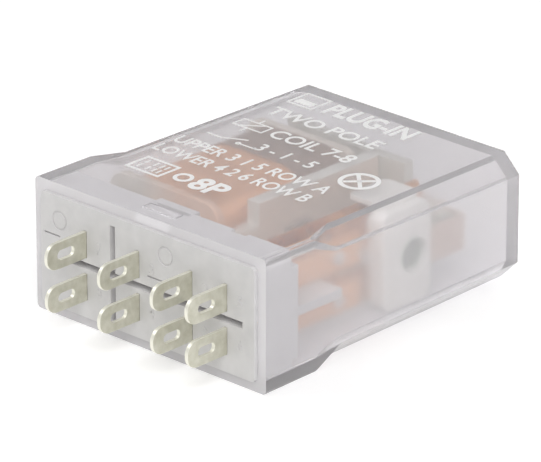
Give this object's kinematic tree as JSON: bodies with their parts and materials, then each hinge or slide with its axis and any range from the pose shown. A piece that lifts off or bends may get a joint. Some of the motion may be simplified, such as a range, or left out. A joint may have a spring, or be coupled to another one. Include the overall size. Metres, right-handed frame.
{
  "type": "plug-in relay",
  "caption": "Flat plug-in relay with a hazy clear cover, flat blades with solder eyes, a coil and two changeover contact sets worked by a tipping armature.",
  "frame": {"origin": "middle of the bounding box, on the broad face that the relay lies on", "axes": "+X across the width towards the switching side, +Y along the length from the blades to the closed end of the cover, +Z through the thickness, up out of the printed broad face"},
  "size_m": [0.029, 0.04, 0.0131],
  "materials": {
    "cover": "hazy clear polycarbonate",
    "base": "light grey moulded",
    "terminal": "dull tin plating on bronze",
    "bronze": "rolled phosphor bronze",
    "silver": "silver alloy contact",
    "rivet": "satin",
    "steel": "zinc plated soft iron",
    "spring_steel": "bright spring wire",
    "bobbin": "natural nylon",
    "winding": "enamelled copper wire",
    "tape": "brown polyester tape",
    "card": "off-white moulded"
  },
  "bodies": {
    "housing": {"cover": "cover", "base": "base", "nc_contacts": "silver", "no_contacts": "silver", "common_rivets": "rivet", "yoke": "steel", "core": "steel", "bobbin": "bobbin", "winding": "winding", "coil_tape": "tape", "coil_lead_upper": "winding", "coil_lead_lower": "winding", "return_spring": "spring_steel", "spring_anchor": "spring_steel", "anchor_rivet": "rivet", "coil_terminal_upper": "terminal", "coil_terminal_lower": "terminal", "nc_terminal_upper": "terminal", "nc_terminal_lower": "terminal", "common_terminal_upper": "terminal", "common_terminal_lower": "terminal", "no_terminal_upper": "terminal", "no_terminal_lower": "terminal"},
    "armature": {"armature": "steel", "actuator_card": "card", "armature_leaf": "bronze", "leaf_rivet": "rivet"},
    "upper_contact": {"upper_spring": "bronze", "upper_contact": "silver"},
    "lower_contact": {"lower_spring": "bronze", "lower_contact": "silver"}
  },
  "joints": [
    {"name": "armature_tilt", "type": "hinge", "parent": "housing", "child": "armature", "pos_m": [0.00215, 0.01265, 0.0062], "axis": [0, 0, 1], "range_deg": [0, 5], "stiffness_Nm_per_rad": 0.001, "springref_deg": -14.32, "deforming": ["return_spring"]},
    {"name": "upper_spring_flex", "type": "hinge", "parent": "housing", "child": "upper_contact", "pos_m": [0.00852, -0.0095, 0.0083], "axis": [0, 0, 1], "range_deg": [-2.9, 0]},
    {"name": "lower_spring_flex", "type": "hinge", "parent": "housing", "child": "lower_contact", "pos_m": [0.00852, -0.0095, 0.0041], "axis": [0, 0, 1], "range_deg": [-2.9, 0]}
  ],
  "couplings": [
    {"joint": "upper_spring_flex", "follows": "armature_tilt", "ratio": -0.571},
    {"joint": "lower_spring_flex", "follows": "armature_tilt", "ratio": -0.571}
  ]
}
